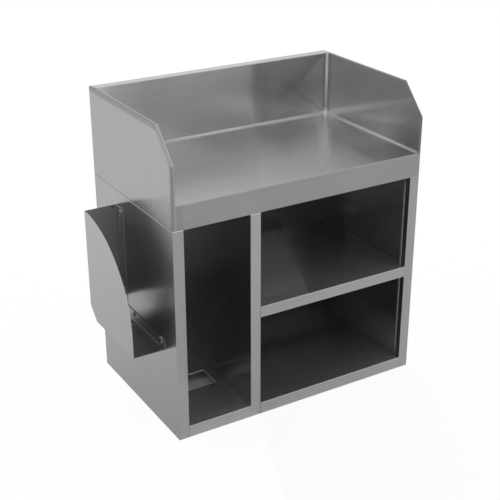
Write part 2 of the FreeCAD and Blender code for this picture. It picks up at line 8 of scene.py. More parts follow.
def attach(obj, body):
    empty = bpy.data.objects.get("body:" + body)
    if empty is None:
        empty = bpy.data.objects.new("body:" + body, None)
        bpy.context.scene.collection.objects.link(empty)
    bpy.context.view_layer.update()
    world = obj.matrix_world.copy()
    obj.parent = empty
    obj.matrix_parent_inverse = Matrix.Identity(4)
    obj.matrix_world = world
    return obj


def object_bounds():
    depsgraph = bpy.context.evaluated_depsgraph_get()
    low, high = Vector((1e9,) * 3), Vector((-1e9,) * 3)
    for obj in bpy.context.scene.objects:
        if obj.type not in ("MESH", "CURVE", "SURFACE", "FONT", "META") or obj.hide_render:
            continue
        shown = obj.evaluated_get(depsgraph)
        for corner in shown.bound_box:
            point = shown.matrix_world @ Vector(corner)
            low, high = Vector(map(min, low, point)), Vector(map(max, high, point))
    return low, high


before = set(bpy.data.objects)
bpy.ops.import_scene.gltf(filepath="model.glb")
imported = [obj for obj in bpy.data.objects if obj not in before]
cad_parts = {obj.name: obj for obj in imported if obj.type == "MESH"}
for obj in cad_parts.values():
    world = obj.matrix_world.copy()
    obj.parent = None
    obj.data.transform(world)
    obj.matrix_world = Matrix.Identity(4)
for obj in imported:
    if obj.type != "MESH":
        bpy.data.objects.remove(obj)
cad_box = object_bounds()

# Camera.
# A long lens stands in front of the cabinet's left corner, a little above the upstands, and looks down on the
# worktop and into the bays.
camera_place = Vector((-1.8747, -3.0918, 2.1368))
camera_aim = Vector((-0.034, -0.010, 0.503))
camera_roll = math.radians(-0.13)
camera_data = bpy.data.cameras.new("studio_camera")
camera_data.sensor_width = 36
camera_data.lens = 76.4
camera_data.clip_end = 100
camera = bpy.data.objects.new("studio_camera", camera_data)
bpy.context.collection.objects.link(camera)
camera.location = camera_place
camera.rotation_mode = "QUATERNION"
look = (camera_aim - camera_place).to_track_quat("-Z", "Y")
camera.rotation_quaternion = look @ Quaternion((0, 0, 1), camera_roll)
scene = bpy.context.scene
scene.camera = camera

# Studio light.
# A white tent: soft light from all round, strongest low down and behind, and fainter from overhead. In front
# on the left, where the camera stands, it is open towards a darker room. Its own cloth looks plain white.
scene.view_settings.view_transform = "Standard"
scene.cycles.use_denoising = True
scene.cycles.max_bounces = 16
scene.cycles.glossy_bounces = 12
scene.cycles.sample_clamp_indirect = 6

tent = bpy.data.worlds.new("studio_tent")
tent.use_nodes = True
scene.world = tent
tent_tree = tent.node_tree


def map_range(tree, value, low_in, high_in, low, high, smooth=False):
    """Carries a value from one range to another, and holds it at both ends."""
    node = tree.nodes.new("ShaderNodeMapRange")
    node.interpolation_type = "SMOOTHSTEP" if smooth else "LINEAR"
    for name, number in (("From Min", low_in), ("From Max", high_in), ("To Min", low), ("To Max", high)):
        node.inputs[name].default_value = number
    tree.links.new(value, node.inputs["Value"])
    return node.outputs["Result"]


def feed(tree, socket, value):
    """Gives a socket a number, or the value of another socket."""
    if isinstance(value, (int, float)):
        socket.default_value = value
    else:
        tree.links.new(value, socket)


def reckoned(tree, operation, *values):
    """Works out one step of arithmetic on sockets and numbers."""
    node = tree.nodes.new("ShaderNodeMath")
    node.operation = operation
    for socket, value in zip(node.inputs, values):
        feed(tree, socket, value)
    return node.outputs[0]


def chosen(tree, factor, one, other):
    """One shader where the factor is nothing, and the other where it is one."""
    mix = tree.nodes.new("ShaderNodeMixShader")
    for socket, source in zip(mix.inputs, (factor, one, other)):
        tree.links.new(source, socket)
    return mix.outputs[0]


towards = tent_tree.nodes.new("ShaderNodeSeparateXYZ")
tent_tree.links.new(tent_tree.nodes.new("ShaderNodeTexCoord").outputs["Generated"], towards.inputs[0])
by_depth = map_range(tent_tree, towards.outputs["Y"], -0.6, 0.6, 0.95, 1.1, smooth=True)
by_height = map_range(tent_tree, towards.outputs["Z"], 0.45, 0.75, 1.0, 0.6, smooth=True)
from_left = map_range(tent_tree, towards.outputs["X"], 0.1, -0.1, 0.0, 1.0, smooth=True)
from_front = map_range(tent_tree, towards.outputs["Y"], -0.45, -0.55, 0.0, 1.0, smooth=True)
open_side = map_range(tent_tree, reckoned(tent_tree, "MULTIPLY", from_left, from_front), 0.0, 1.0, 1.0, 0.6)
all_round = reckoned(tent_tree, "MULTIPLY", by_depth, by_height)
tent_light = reckoned(tent_tree, "MULTIPLY", all_round, open_side)
lit_cloth = tent_tree.nodes["Background"]
white_cloth = tent_tree.nodes.new("ShaderNodeBackground")
for shader, strength in ((lit_cloth, tent_light), (white_cloth, 1.0)):
    shader.inputs["Color"].default_value = (1, 1, 1, 1)
    feed(tent_tree, shader.inputs["Strength"], strength)
tent_seen = tent_tree.nodes.new("ShaderNodeLightPath").outputs["Is Camera Ray"]
backdrop = chosen(tent_tree, tent_seen, lit_cloth.outputs[0], white_cloth.outputs[0])
tent_tree.links.new(backdrop, tent_tree.nodes["World Output"].inputs["Surface"])

# Floor.
# A pale sheet of card that runs out of sight. For all but the camera's rays it has a painted glow, stronger
# behind the cabinet than in front. It looks white in the open. Under the cabinet it is plain card in the
# shade, with a little painted light below the hole.
floor_half = 30
half_width, half_depth = cad_box[1][0], cad_box[1][1]
card = bpy.data.materials.new("pale_floor_card")
card.use_nodes = True
card_tree = card.node_tree
card_tree.nodes.clear()


def lit_card(tree, reflects, glows):
    """Matt card with some light of its own. Glows is a number, or a socket that gives one."""
    matt = tree.nodes.new("ShaderNodeBsdfDiffuse")
    matt.inputs["Color"].default_value = (reflects, reflects, reflects, 1)
    glow = tree.nodes.new("ShaderNodeEmission")
    feed(tree, glow.inputs["Strength"], glows)
    both = tree.nodes.new("ShaderNodeAddShader")
    tree.links.new(matt.outputs[0], both.inputs[0])
    tree.links.new(glow.outputs[0], both.inputs[1])
    return both.outputs[0]


def into_scene(name, edit, material):
    """Makes an object of a finished bmesh. Its faces are smooth, but for ends with more than four corners."""
    mesh = bpy.data.meshes.new(name)
    edit.to_mesh(mesh)
    edit.free()
    for polygon in mesh.polygons:
        polygon.use_smooth = len(polygon.vertices) <= 4
    mesh.materials.append(material)
    made = bpy.data.objects.new(name, mesh)
    bpy.context.collection.objects.link(made)
    return made


apart = card_tree.nodes.new("ShaderNodeSeparateXYZ")
card_tree.links.new(card_tree.nodes.new("ShaderNodeNewGeometry").outputs["Position"], apart.inputs[0])
beyond = []
for axis, half in (("X", half_width), ("Y", half_depth)):
    from_middle = reckoned(card_tree, "ABSOLUTE", apart.outputs[axis])
    beyond.append(reckoned(card_tree, "GREATER_THAN", from_middle, half))
in_open = reckoned(card_tree, "MAXIMUM", *beyond)
# A painted glow of the card, stronger behind the cabinet, and painted light on the card below the bay's hole.
painted_glow_behind = map_range(card_tree, apart.outputs["Y"], -0.4, 1.6, 0.34, 0.58)
painted_light_below_hole = map_range(card_tree, apart.outputs["X"], -0.42, -0.30, 0.17, 0.03)
before_hole_end = map_range(card_tree, apart.outputs["Y"], 0.018, 0.006, 0.1, 1.0)
shaded_card = lit_card(card_tree, 0.8, reckoned(card_tree, "MULTIPLY", painted_light_below_hole, before_hole_end))
card_seen = card_tree.nodes.new("ShaderNodeLightPath").outputs["Is Camera Ray"]
mirrored_card = lit_card(card_tree, 0.28, painted_glow_behind)
white_card = lit_card(card_tree, 0.10, 0.93)
open_card = chosen(card_tree, card_seen, mirrored_card, white_card)
output = card_tree.nodes.new("ShaderNodeOutputMaterial")
card_tree.links.new(chosen(card_tree, in_open, shaded_card, open_card), output.inputs["Surface"])
edit = bmesh.new()
bmesh.ops.create_grid(edit, x_segments=1, y_segments=1, size=floor_half)
into_scene("studio_floor", edit, card)

# Flag.
# A black card beside the line of sight, out of shot, whose black side the bays mirror. From the other side it
# is clear, so that it shades nothing there, and its top rises with the light that the bays send out.
flag_corners = ((-0.175, -0.313, 0), (-0.175, -0.313, 0.86), (-1.36, -3.30, 2.65), (-1.36, -3.30, 0))
black = bpy.data.materials.new("black_flag_cloth")
black.use_nodes = True
black_tree = black.node_tree
cloth = black_tree.nodes["Principled BSDF"]
cloth.inputs["Base Color"].default_value = (0.04, 0.04, 0.04, 1)
cloth.inputs["Roughness"].default_value = 1.0
clear = black_tree.nodes.new("ShaderNodeBsdfTransparent")
from_behind = black_tree.nodes.new("ShaderNodeNewGeometry").outputs["Backfacing"]
one_way = chosen(black_tree, from_behind, cloth.outputs[0], clear.outputs[0])
black_tree.links.new(one_way, black_tree.nodes["Material Output"].inputs["Surface"])
edit = bmesh.new()
edit.faces.new([edit.verts.new(corner) for corner in flag_corners])
flag = into_scene("studio_flag", edit, black)
flag.visible_camera = False


# Side panels.
# Each side of the body is one sheet of 1.2 mm stainless steel, folded round the front post and turned in at
# the back, top and bottom. It is brushed up and down, and welded to the panels that it meets.
def brushed_steel(name, grain, tone, roughness, anisotropy, film, waves=0.2, marks=0.05):
    """Stainless sheet, brushed along the grain axis.

    Film is the dull share of the surface. Waves and marks say how strongly the swell of the sheet and the
    scratches of the brushing show.
    """
    steel = bpy.data.materials.new(name)
    steel.use_nodes = True
    tree = steel.node_tree
    shader = tree.nodes["Principled BSDF"]
    place = tree.nodes.new("ShaderNodeTexCoord")
    place.name = "place"
    surface = tree.nodes.new("ShaderNodeNewGeometry")
    surface.name = "surface"

    def streaks(along, across, detail):
        """Noise with this many marks to a metre, along the grain and across it."""
        mapping = tree.nodes.new("ShaderNodeMapping")
        mapping.inputs["Scale"].default_value = [along if axis == grain else across for axis in "XYZ"]
        tree.links.new(place.outputs["Object"], mapping.inputs["Vector"])
        noise = tree.nodes.new("ShaderNodeTexNoise")
        noise.inputs["Scale"].default_value = 1.0
        noise.inputs["Detail"].default_value = detail
        tree.links.new(mapping.outputs[0], noise.inputs["Vector"])
        return noise.outputs["Fac"]

    def varied(noise, spread):
        """Noise, which mostly lies between 0.3 and 0.7, as a number that is one, give or take the spread."""
        return map_range(tree, noise, 0.3, 0.7, 1 - spread, 1 + spread)

    fine = streaks(along=9, across=1400, detail=2)
    bands = streaks(along=1.2, across=70, detail=3)
    clouds = streaks(along=3, across=3, detail=2)
    grey = tree.nodes.new("ShaderNodeVectorMath")
    grey.name = "tone"
    grey.operation = "SCALE"
    grey.inputs[0].default_value = (tone, tone, tone)
    uneven = reckoned(tree, "MULTIPLY", varied(bands, 0.02), varied(clouds, 0.03))
    tree.links.new(uneven, grey.inputs["Scale"])
    tree.links.new(grey.outputs[0], shader.inputs["Base Color"])
    rough = reckoned(tree, "MULTIPLY", roughness, varied(fine, 0.05))
    rough = reckoned(tree, "MULTIPLY", rough, varied(clouds, 0.07))
    tree.links.new(rough, shader.inputs["Roughness"])
    metal = tree.nodes.new("ShaderNodeValue")
    metal.outputs[0].default_value = 1 - film
    tree.links.new(metal.outputs[0], shader.inputs["Metallic"])

    # The sheet is not quite flat, and the scratches lie on its soft waves.
    wave_height, scratch_depth = 0.002, 0.0002
    sheet = tree.nodes.new("ShaderNodeBump")
    sheet.inputs["Strength"].default_value = waves
    sheet.inputs["Distance"].default_value = wave_height
    tree.links.new(streaks(along=2.2, across=2.2, detail=0), sheet.inputs["Height"])
    scratches = tree.nodes.new("ShaderNodeBump")
    scratches.inputs["Strength"].default_value = marks
    scratches.inputs["Distance"].default_value = scratch_depth
    tree.links.new(fine, scratches.inputs["Height"])
    tree.links.new(sheet.outputs[0], scratches.inputs["Normal"])
    tree.links.new(scratches.outputs[0], shader.inputs["Normal"])

    # The scratches lie along the grain, so a highlight stretches across it. Their line leans a little, so
    # that a face which looks straight along the grain has a tangent too.
    lean = 0.02
    tangent = tree.nodes.new("ShaderNodeVectorMath")
    tangent.operation = "CROSS_PRODUCT"
    tangent.inputs[1].default_value = [1 if axis == grain else lean for axis in "XYZ"]
    tree.links.new(surface.outputs["Normal"], tangent.inputs[0])
    tree.links.new(tangent.outputs[0], shader.inputs["Tangent"])
    shader.inputs["Anisotropic"].default_value = anisotropy
    return steel


# A mask says where on a steel something changes. It is a tuple of limits, each of them a measure of the
# surface, with the value at which the mask is at its least and the value at which it is full.
def placed(line, none, full, least=0.0):
    """A mask by how far a place lies along an axis or a line."""
    return (("place", line, none, full, least),)


def facing(line, none, full):
    """A mask by how squarely a face looks along an axis or a line."""
    return (("facing", line, none, full, 0.0),)


def away(centre, none, full):
    """A mask by the distance from a centre."""
    return (("away", centre, none, full, 0.0),)


def meeting(*masks):
    """The mask that is full where all of these are."""
    return sum(masks, ())


def strip(line, low, high, edge):
    """A mask that is full between two places along a line, and fades out over an edge outside them."""
    return meeting(placed(line, low - edge, low), placed(line, high + edge, high))


axes = {"X": (1, 0, 0), "Y": (0, 1, 0), "Z": (0, 0, 1)}


def multiply(steel, socket, mask, times):
    """Multiplies what feeds a socket of a steel by a number where the mask is full."""
    tree = steel.node_tree
    place = tree.nodes["place"].outputs["Object"]
    sources = {"place": place, "away": place, "facing": tree.nodes["surface"].outputs["Normal"]}
    whole = 1.0
    for kind, line, none, full, least in mask:
        measure = tree.nodes.new("ShaderNodeVectorMath")
        measure.operation = "DISTANCE" if kind == "away" else "DOT_PRODUCT"
        tree.links.new(sources[kind], measure.inputs[0])
        measure.inputs[1].default_value = axes.get(line, line)
        share = map_range(tree, measure.outputs["Value"], none, full, least, 1)
        whole = reckoned(tree, "MULTIPLY", whole, share)
    factor = map_range(tree, whole, 0, 1, 1, times)
    tree.links.new(reckoned(tree, "MULTIPLY", socket.links[0].from_socket, factor), socket)


def tint(steel, mask, times):
    """Makes a steel lighter or darker."""
    multiply(steel, steel.node_tree.nodes["tone"].inputs["Scale"], mask, times)


def dull(steel, mask, metal_left):
    """Leaves a share of a steel's metal bare, and covers the rest with film."""
    multiply(steel, steel.node_tree.nodes["Principled BSDF"].inputs["Metallic"], mask, metal_left)


def roughen(steel, mask, times):
    """Makes a steel's reflections softer or sharper."""
    multiply(steel, steel.node_tree.nodes["Principled BSDF"].inputs["Roughness"], mask, times)


def dress(steel, *labels):
    """Gives a steel to every face of the solids with these labels."""
    for label in labels:
        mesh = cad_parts[label].data
        for number in range(len(mesh.materials)):
            mesh.materials[number] = steel


side_steel = brushed_steel(
    "side_brushed_steel", grain="Z", tone=0.50, roughness=0.22, anisotropy=0.85, film=0.08,
    waves=0.15, marks=0.02,
)
forwards = facing("Y", -0.8, -0.95)
# Painted light: the front faces are lighter, with a painted highlight on the front fold, weaker on the right.
tint(side_steel, forwards, 1.14)
front_bend = facing((0, -0.707, 0.707), 0.8, 0.95)
at_right_side = placed("X", 0.4, 0.45)
tint(side_steel, front_bend, 2.0)
tint(side_steel, meeting(front_bend, at_right_side), 0.6)
# Painted shade on the posts' returns inside the bays.
post_returns = meeting(strip("X", -0.47, 0.47, 0.005), placed("Y", -0.3095, -0.3085))
tint(side_steel, post_returns, 0.75)

# On the left wall: a painted reflection of the holder, a lighter painted reflection of the gap, painted
# shade behind the holder, and a painted shadow along the top edge of its flange.
on_left_wall = placed("X", -0.49, -0.498)
painted_shade_behind_holder = meeting(on_left_wall, strip("Y", -0.2, 0.13, 0.05), strip("Z", 0.36, 0.68, 0.06))
tint(side_steel, painted_shade_behind_holder, 0.82)
upper_slope, lower_slope, gap_slope = (0, 0.788, 0.615), (0, 0.477, 0.879), (0, 0.562, 0.827)
painted_holder_reflection = meeting(
    on_left_wall, placed(upper_slope, 0.185, 0.14), placed(lower_slope, 0.176, 0.19),
    placed("Z", 0.321, 0.323), placed("Y", -0.309, -0.25),
)
tint(side_steel, painted_holder_reflection, 0.58)
painted_gap_reflection = meeting(
    on_left_wall, placed(gap_slope, 0.382, 0.366), placed(upper_slope, 0.14, 0.175),
    placed("Z", 0.36, 0.364), placed("Y", 0.08, 0.076),
)
tint(side_steel, painted_gap_reflection, 1.12)
flange_shadow = meeting(on_left_wall, strip("Y", -0.223, 0.075, 0.002), strip("Z", 0.362, 0.366, 0.001))
tint(side_steel, flange_shadow, 0.4)
dress(side_steel, "side_panel_left", "side_panel_right")

# Side liners.
# The inner skin of each side wall: thin sheet with the mill's bright finish, let in behind the post and
# welded to it along a narrow bead, which shows as a fine light line down the wall.
mill_tone = 0.54
mill_steel = brushed_steel(
    "liner_mill_steel", grain="Z", tone=mill_tone, roughness=0.05, anisotropy=0.0, film=0.07,
    waves=0.03, marks=0.005,
)
rear_faces = facing("Y", 0.5, 0.9)
roughen(mill_steel, rear_faces, 4.0)
indoors = facing("Y", 0.9, 0.5)

left_of_divider = placed("X", -0.19, -0.2)
in_left_bay = meeting(indoors, left_of_divider)
roughen(mill_steel, in_left_bay, 5.0)
# Painted light and shade in the left bay: lighter high up, darker low down.
tint(mill_steel, meeting(in_left_bay, placed("Z", 0.25, 0.6)), 1.45)
tint(mill_steel, meeting(in_left_bay, placed("Z", 0.35, 0.15)), 0.75)

low_bay = meeting(placed("X", -0.2, -0.19), placed("Z", 0.42, 0.4))
roughen(mill_steel, meeting(indoors, low_bay), 2.4)
# Painted shade in the lower bay, on its left part, high up.
painted_shade_in_low_bay = meeting(indoors, low_bay, placed("Z", 0.15, 0.25), placed("X", 0.3, 0.1))
tint(mill_steel, painted_shade_in_low_bay, 0.85)

leftwards = facing("X", -0.8, -0.95)
top_of_right_wall = meeting(leftwards, placed("Z", 0.44, 0.55))
roughen(mill_steel, top_of_right_wall, 2.5)
dull(mill_steel, meeting(top_of_right_wall, placed("Y", 0.1, -0.2)), 0.88)
foot_of_right_wall = meeting(leftwards, placed("Z", 0.22, 0.08), placed("Y", 0.2, -0.15))
dull(mill_steel, foot_of_right_wall, 0.5)
shelf_joint = meeting(leftwards, strip("Z", 0.4365, 0.4395, 0.001))
tint(mill_steel, shelf_joint, 1.1)
dull(mill_steel, shelf_joint, 0.82)
dress(mill_steel, "side_liner_left", "side_liner_right")

wall_half, bead_front, bead_foot, bead_height = 0.46, -0.283, 0.046, 0.738
bead_half, bead_proud, bead_sides = 0.004, 0.0012, 16
bead_steel = brushed_steel(
    "liner_bead_steel", grain="Z", tone=0.8, roughness=0.4, anisotropy=0.0, film=0.6,
)


def draw_out(edit, run):
    """Extrudes a flat face into a solid, and turns its faces outwards.

    The sides of an extrusion come in no fixed order, so they are put in one: the order of their middles along
    a line that leans against all three axes.
    """
    grown = bmesh.ops.extrude_face_region(edit, geom=edit.faces[:])
    moved = [item for item in grown["geom"] if isinstance(item, bmesh.types.BMVert)]
    bmesh.ops.translate(edit, vec=run, verts=moved)
    bmesh.ops.recalc_face_normals(edit, faces=edit.faces[:])
    leaning = Vector((1, 0.4, 0.2))
    edit.faces.sort(key=lambda face: face.calc_center_median().dot(leaning))


for name, wall in (("liner_bead_left", -wall_half), ("liner_bead_right", wall_half)):
    edit = bmesh.new()
    bmesh.ops.create_circle(edit, cap_ends=True, radius=bead_half, segments=bead_sides)
    bmesh.ops.scale(edit, vec=(bead_proud / bead_half, 1, 1), verts=edit.verts[:])
    bmesh.ops.translate(edit, vec=(wall, bead_front, bead_foot), verts=edit.verts[:])
    draw_out(edit, (0, 0, bead_height))
    bead = into_scene(name, edit, bead_steel)
    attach(bead, "root")

# Back panel.
# A flat sheet over the whole back of the body, welded behind the sides. It keeps the mill's finish, which is
# rougher on its outer face.
dress(mill_steel, "back_panel")

# Divider.
# A hollow wall between the bays: one sheet folded round its front edge, which is brushed as the posts are.
# Its sides keep the mill's bright finish, painted much darker as shade of the bays. The left one has a
# painted reflection of the floor and a faint, lighter curved arc.
post_tone = 0.61
post_steel = brushed_steel(
    "divider_brushed_steel", grain="Z", tone=post_tone, roughness=0.2, anisotropy=0.0, film=0.12,
    waves=0.05, marks=0.01,
)
# A painted highlight on the front fold.
tint(post_steel, front_bend, 1.8)


def mirror_inside(steel, tone):
    """Gives the faces that do not look forwards the mill's bright finish, in a tone; a low tone is painted
    shade.
    """
    inside = facing("Y", -0.8, -0.3)
    tint(steel, inside, tone / post_tone)
    roughen(steel, inside, 0.25)
    roughen(steel, meeting(inside, left_of_divider), 2.4)
    roughen(steel, meeting(inside, low_bay), 2.4)


# The sides are given a tone of 0.2: painted shade of the bays.
mirror_inside(post_steel, 0.2)
# A painted reflection of the floor on the left side.
painted_floor_reflection = meeting(leftwards, placed((0, 0.461, 0.887), 0.012, -0.004))
tint(post_steel, painted_floor_reflection, 2.0)
roughen(post_steel, meeting(leftwards, placed("Z", 0.5, 0.25)), 1.7)
# A faint, lighter and duller curved arc on the left side.
lighter_arc_centre = (-0.211, -0.515, -0.07)
lighter_arc = meeting(
    leftwards, away(lighter_arc_centre, 0.597, 0.6), away(lighter_arc_centre, 0.604, 0.601), strip("Y", -0.14, 0.0, 0.03),
)
tint(post_steel, lighter_arc, 1.5)
dull(post_steel, lighter_arc, 0.85)
dress(post_steel, "divider")

# Ceiling, floors and shelf.
# Flat pans whose front edges are folded down into rails, brushed from side to side in front and left with the
# mill's finish inside. Channels beneath stiffen them, and angles welded to the walls carry the shelf.
rail_steel = brushed_steel(
    "rail_brushed_steel", grain="X", tone=post_tone, roughness=0.2, anisotropy=0.0, film=0.08,
    waves=0.05, marks=0.01,
)
mirror_inside(rail_steel, mill_tone)
undersides = facing("Z", -0.6, -0.9)
# Painted shade on the faces that look down.
tint(rail_steel, undersides, 0.35)
collar = meeting(strip("X", -0.44, -0.23, 0.002), strip("Y", -0.11, 0.01, 0.002), facing("Z", 0.5, 0.3))
# A painted highlight on the lip of the floor's hole, and painted shade on the collar below it.
collar_lip = meeting(collar, placed("Z", 0.039, 0.041))
tint(rail_steel, collar_lip, 2.2)
dull(rail_steel, collar_lip, 0.5)
tint(rail_steel, meeting(collar, placed("Z", 0.041, 0.039)), 0.5)
upwards = facing("Z", 0.6, 0.9)
dull(rail_steel, meeting(upwards, placed("Y", 0.1, -0.3)), 0.78)
across_shelf = (0.918, -0.397, 0)
# A painted patch of light on the left of the shelf, painted darker towards the rear.
painted_light_on_shelf = meeting(upwards, placed("Z", 0.4, 0.41), placed(across_shelf, 0.156, 0.148))
tint(rail_steel, painted_light_on_shelf, 1.15)
tint(rail_steel, meeting(painted_light_on_shelf, placed("Y", 0.02, 0.26)), 0.55)
dull(rail_steel, meeting(painted_light_on_shelf, placed("Y", -0.1, -0.3)), 0.8)
dress(rail_steel, "floor_pan_left", "floor_pan_right", "floor_channel_middle", "floor_channel_right")
dress(rail_steel, "shelf", "shelf_support_left", "shelf_support_right", "shelf_channel")
dress(mill_steel, "ceiling_panel")

# Worktop.
# One sheet of 1.5 mm steel, folded down in front into the fascia, and brushed from side to side. Two channels
# are welded under it. Its shine is painted uneven, with painted highlights, reflections and shade.
worktop_steel = brushed_steel(
    "worktop_brushed_steel", grain="X", tone=0.48, roughness=0.2, anisotropy=0.95, film=0.08,
    waves=0.15, marks=0.02,
)
# Painted shade towards the front, the fascia lighter, and a painted highlight on its fold.
tint(worktop_steel, placed("Y", 0.25, -0.25), 0.95)
tint(worktop_steel, forwards, 1.05)
tint(worktop_steel, front_bend, 1.08)
ground_end = meeting(forwards, strip("X", -0.484, -0.462, 0.004))
tint(worktop_steel, ground_end, 0.9)

flat = facing("Z", 0.8, 0.95)
# Painted highlights and shade over the top, lighter beside the welds.
rear_left = meeting(flat, placed("X", -0.05, -0.35), placed("Y", -0.1, 0.2))
tint(worktop_steel, rear_left, 1.5)
rear_middle = meeting(flat, strip("X", -0.08, 0.12, 0.1), placed("Y", 0.02, 0.15))
tint(worktop_steel, rear_middle, 0.82)
rear_right = meeting(flat, placed("X", 0.2, 0.42), placed("Y", 0.0, 0.2))
tint(worktop_steel, rear_right, 1.65)
front_left = meeting(flat, placed("X", -0.35, 0.0), placed("Y", -0.12, -0.3))
tint(worktop_steel, front_left, 0.8)
beside_rear_weld = meeting(flat, placed("Y", 0.248, 0.256))
tint(worktop_steel, beside_rear_weld, 1.45)
beside_right_weld = meeting(flat, placed("X", 0.472, 0.477))
tint(worktop_steel, beside_right_weld, 1.3)

# A painted bright stripe of glare from the front to the rear, with painted light and shade beside it.
across_glare = (0.8345, -0.551, 0)
painted_glare = meeting(flat, strip(across_glare, 0.237, 0.26, 0.025), placed("Y", -0.25, -0.05))
tint(worktop_steel, painted_glare, 1.4)
painted_glare_side = meeting(
    flat, placed(across_glare, 0.1, 0.2), placed(across_glare, 0.27, 0.245), placed("Y", -0.25, -0.1),
)
tint(worktop_steel, painted_glare_side, 1.15)
painted_glare_back = meeting(painted_glare_side, placed("Y", -0.1, 0.0), placed("Y", 0.14, 0.04))
tint(worktop_steel, painted_glare_back, 1.2)
painted_glare_end = meeting(flat, strip(across_glare, 0.247, 0.256, 0.01), placed("X", 0.25, 0.42))
tint(worktop_steel, painted_glare_end, 1.45)
painted_shade_beside_glare = meeting(flat, placed(across_glare, 0.29, 0.4), placed("X", 0.325, 0.3))
tint(worktop_steel, painted_shade_beside_glare, 0.9)
across_shade = (0.854, -0.521, 0)
shade_band = meeting(
    flat, placed(across_shade, -0.03, -0.004), placed(across_shade, 0.03, 0.006),
    placed("Y", -0.25, 0.05, least=0.3),
)
tint(worktop_steel, shade_band, 0.82)
# A painted wedge of shade on the right, towards the front.
painted_shade_wedge = meeting(flat, placed("X", 0.3, 0.325), placed("Y", -0.03, -0.2))
tint(worktop_steel, painted_shade_wedge, 0.55)
painted_shade_front = meeting(flat, placed("X", 0.23, 0.3), placed("Y", -0.12, -0.25))
tint(worktop_steel, painted_shade_front, 0.85)
dress(worktop_steel, "worktop", "worktop_channel_front", "worktop_channel_rear")

# Back upstand.
# One sheet folded into a box and brushed from side to side: a foot that is bolted to the body's ceiling, the
# back, the top, and a front face that comes down to the worktop and is welded to it.
back_steel = brushed_steel(
    "back_upstand_brushed_steel", grain="X", tone=0.46, roughness=0.145, anisotropy=0.95, film=0.09,
    waves=0.06, marks=0.02,
)
# Painted on the front face: the reflection of the right upstand's shadow, and a bright patch to the left of
# it.
shadow_line = (0.636, 0, -0.772)
shadow = meeting(
    forwards, placed(shadow_line, -0.61, -0.565), placed(shadow_line, -0.556, -0.562),
    placed("Z", 0.93, 0.96),
)
tint(back_steel, shadow, 0.88)
beyond_shadow = meeting(forwards, placed(shadow_line, -0.556, -0.545))
tint(back_steel, beyond_shadow, 1.06)
in_corner = meeting(forwards, placed("X", 0.36, 0.45), placed(shadow_line, -0.565, -0.555))
tint(back_steel, in_corner, 1.2)

# Painted highlights: the reflection of a lamp near the top, and a lighter left part.
right_of_lamp = placed("X", 0.17, 0.19)
near_top = meeting(forwards, right_of_lamp, placed("Z", 1.0, 1.08))
tint(back_steel, near_top, 1.25)
lamp_side = meeting(forwards, placed("X", 0.165, 0.175), placed("X", 0.3, 0.25), placed("Z", 1.07, 1.03))
tint(back_steel, lamp_side, 1.15)
lamp_edge = meeting(
    forwards, placed("X", 0.13, 0.156), placed("X", 0.2, 0.162), placed("Z", 0.92, 1.0, least=0.5),
)
tint(back_steel, lamp_edge, 1.28)
left_part, left_end = placed("X", -0.3, -0.46), placed("X", -0.43, -0.475)
tint(back_steel, meeting(forwards, left_part), 1.28)
tint(back_steel, meeting(forwards, left_end), 1.25)

# The top face is painted darker right of the lamp and towards the rear, as shade, and darker along the left
# seam.
left_seam, rear_half = placed("X", -0.487, -0.489), placed("Y", 0.288, 0.292)
tint(back_steel, meeting(upwards, right_of_lamp), 0.9)
tint(back_steel, meeting(upwards, left_seam), 0.5)
tint(back_steel, meeting(upwards, rear_half), 0.9)
dress(back_steel, "upstand_back")

# Side upstands.
# Each is a sheet with its edges folded in, and a second sheet set between them. The folded edges are painted
# darker than the faces, as shade, and the front corner is cut at a slant.
upstand_steel = brushed_steel(
    "upstand_brushed_steel", grain="Z", tone=0.515, roughness=0.25, anisotropy=0.9, film=0.08,
    waves=0.07, marks=0.002,
)
cut = (0, -0.73, 0.683)
left_upstand = placed("X", -0.4, -0.45)
left_rim = placed("X", -0.4915, -0.4925)
# Painted shade on the top faces, folded edges and rear ends, and painted light on the left one's slanted
# face.
tint(upstand_steel, upwards, 0.49)
tint(upstand_steel, meeting(upwards, left_rim), 0.72)
tint(upstand_steel, meeting(upwards, left_upstand), 0.9)
tint(upstand_steel, meeting(upwards, at_right_side), 0.58)
outer_top_bend = facing((-0.707, 0, 0.707), 0.76, 0.9)
tint(upstand_steel, outer_top_bend, 0.68)
tint(upstand_steel, meeting(left_upstand, facing(cut, 0.95, 0.98)), 1.35)
rear_end = meeting(facing("Z", 0.2, 0.4), placed("Y", 0.258, 0.264))
tint(upstand_steel, rear_end, 0.65)
right_front_edge = meeting(at_right_side, placed("Z", 0.872, 0.88), facing("Y", -0.3, -0.45))
tint(upstand_steel, right_front_edge, 0.58)
outer_half = meeting(forwards, placed("X", -0.4935, -0.4945))
tint(upstand_steel, outer_half, 0.68)

# Painted shade along the rims of the left outer face, and a dark painted line at its seam with the body.
outer_face = meeting(leftwards, placed("X", -0.498, -0.499))
top_rim, front_rim, cut_rim = placed("Z", 1.1, 1.106), placed("Y", -0.296, -0.302), placed(cut, 0.904, 0.908)
for rim, times in ((top_rim, 0.72), (front_rim, 0.74), (cut_rim, 0.85)):
    tint(upstand_steel, meeting(outer_face, rim), times)
painted_shade_at_seam = meeting(leftwards, placed("Z", 0.795, 0.793))
tint(upstand_steel, painted_shade_at_seam, 0.5)

